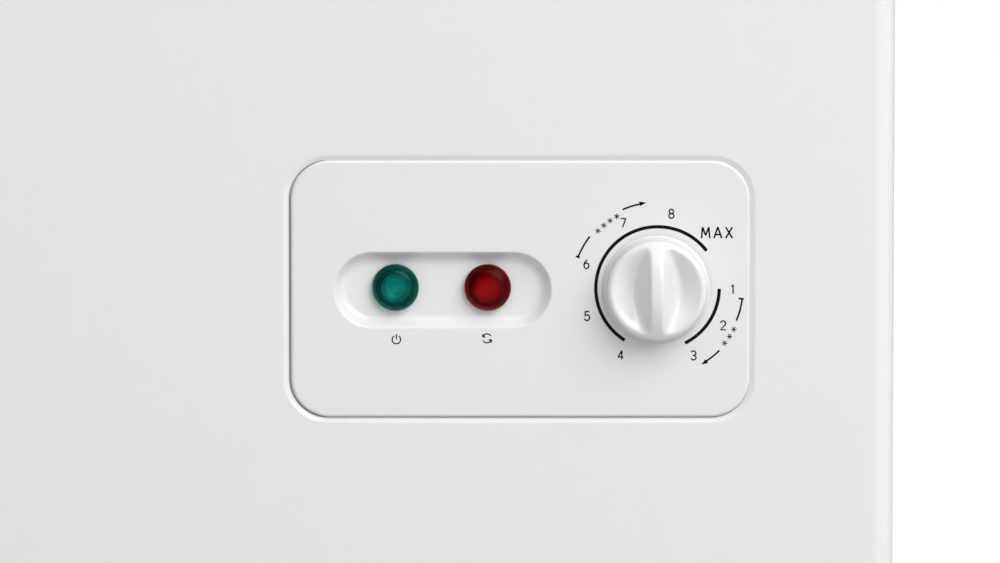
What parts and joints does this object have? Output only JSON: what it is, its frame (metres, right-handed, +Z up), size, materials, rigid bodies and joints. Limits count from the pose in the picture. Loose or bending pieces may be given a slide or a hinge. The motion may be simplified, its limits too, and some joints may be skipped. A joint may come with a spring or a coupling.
{
  "type": "chest freezer",
  "caption": "Chest freezer with a stepped liner, sprung top lid, hanging wire basket and a front control panel with a rotary thermostat and two indicator lamps.",
  "frame": {"origin": "on the floor, under the centre of the bounding box", "axes": "+Z up, -Y towards the front with the control panel, +X to the right along the cabinet"},
  "size_m": [0.956, 0.6184, 0.845],
  "materials": {
    "white_enamel": "white polyester paint on steel sheet, semi-gloss",
    "white_abs": "injection-moulded white ABS, glossy",
    "liner_aluminium": "stucco-embossed aluminium sheet",
    "galvanised_steel": "zinc-coated sheet steel",
    "insulation_foam": "foamed-in-place polyurethane",
    "copper_tube": "drawn copper",
    "black_steel": "black stoving paint",
    "black_plastic": "moulded, fine grain",
    "black_rubber": "moulded rubber",
    "gasket_vinyl": "extruded soft vinyl",
    "green_lens": "clear-tinted polycarbonate, polished",
    "red_lens": "clear-tinted polycarbonate, polished",
    "spring_steel": "drawn bright",
    "coated_wire": "white dip-coated wire"
  },
  "bodies": {
    "cabinet": {"outer_shell": "white_enamel", "back_panel": "white_enamel", "rim_trim": "white_abs", "control_panel": "white_abs", "side_vent_grille": "white_abs", "drain_tube": "white_abs", "inner_liner": "liner_aluminium", "evaporator_coil": "liner_aluminium", "base_pan": "galvanised_steel", "compressor_base": "galvanised_steel", "bay_bulkhead": "galvanised_steel", "thermostat_body": "galvanised_steel", "rear_bay_cover": "galvanised_steel", "hinge_left_base": "galvanised_steel", "hinge_right_base": "galvanised_steel", "foam_insulation": "insulation_foam", "condenser_coil": "copper_tube", "discharge_pipe": "copper_tube", "suction_pipe": "copper_tube", "filter_drier": "copper_tube", "thermostat_capillary": "copper_tube", "compressor": "black_steel", "foot_front_left": "black_plastic", "foot_front_right": "black_plastic", "foot_rear_left": "black_plastic", "foot_rear_right": "black_plastic", "relay_cover": "black_plastic", "power_lamp_body": "black_plastic", "run_lamp_body": "black_plastic", "control_box": "black_plastic", "cord_gland": "black_plastic", "compressor_grommet_1": "black_rubber", "compressor_grommet_2": "black_rubber", "compressor_grommet_3": "black_rubber", "compressor_grommet_4": "black_rubber", "power_lamp_lens": "green_lens", "run_lamp_lens": "red_lens", "hinge_left_pin": "spring_steel", "hinge_right_pin": "spring_steel", "hinge_left_spring": "spring_steel", "hinge_right_spring": "spring_steel"},
    "lid": {"lid_outer": "white_enamel", "lid_inner_panel": "white_abs", "lid_foam": "insulation_foam", "lid_gasket": "gasket_vinyl", "lid_handle": "white_abs", "hinge_left_leaf": "galvanised_steel", "hinge_right_leaf": "galvanised_steel"},
    "knob": {"thermostat_knob": "white_abs", "thermostat_shaft": "spring_steel"},
    "plunger_left": {"hinge_left_plunger": "white_abs"},
    "plunger_right": {"hinge_right_plunger": "white_abs"},
    "basket": {"basket": "coated_wire"},
    "drain_plug": {"drain_plug_inner": "black_rubber"},
    "drain_cap": {"drain_cap_outer": "white_abs"}
  },
  "joints": [
    {"name": "lid_hinge", "type": "hinge", "parent": "cabinet", "child": "lid", "pos_m": [0, 0.29715, 0.789], "axis": [-1, 0, 0], "range_deg": [0, 80]},
    {"name": "thermostat_turn", "type": "hinge", "parent": "cabinet", "child": "knob", "pos_m": [0.3986, -0.29885, 0.1654], "axis": [0, 1, 0], "range_deg": [-269, 50]},
    {"name": "hinge_left_plunger_slide", "type": "slide", "parent": "cabinet", "child": "plunger_left", "axis": [0, 0, 1], "range_m": [0, 0.0098], "deforming": ["hinge_left_spring"]},
    {"name": "hinge_right_plunger_slide", "type": "slide", "parent": "cabinet", "child": "plunger_right", "axis": [0, 0, 1], "range_m": [0, 0.0098], "deforming": ["hinge_right_spring"]},
    {"name": "basket_slide", "type": "slide", "parent": "cabinet", "child": "basket", "axis": [-1, 0, 0], "range_m": [0, 0.47]},
    {"name": "drain_plug_lift", "type": "slide", "parent": "cabinet", "child": "drain_plug", "axis": [0, 0, 1], "range_m": [0, 0.03]},
    {"name": "drain_cap_pull", "type": "slide", "parent": "cabinet", "child": "drain_cap", "axis": [0, -1, 0], "range_m": [0, 0.02]}
  ],
  "couplings": [
    {"joint": "hinge_left_plunger_slide", "follows": "lid_hinge", "m_per_rad": 0.007},
    {"joint": "hinge_right_plunger_slide", "follows": "lid_hinge", "m_per_rad": 0.007}
  ]
}
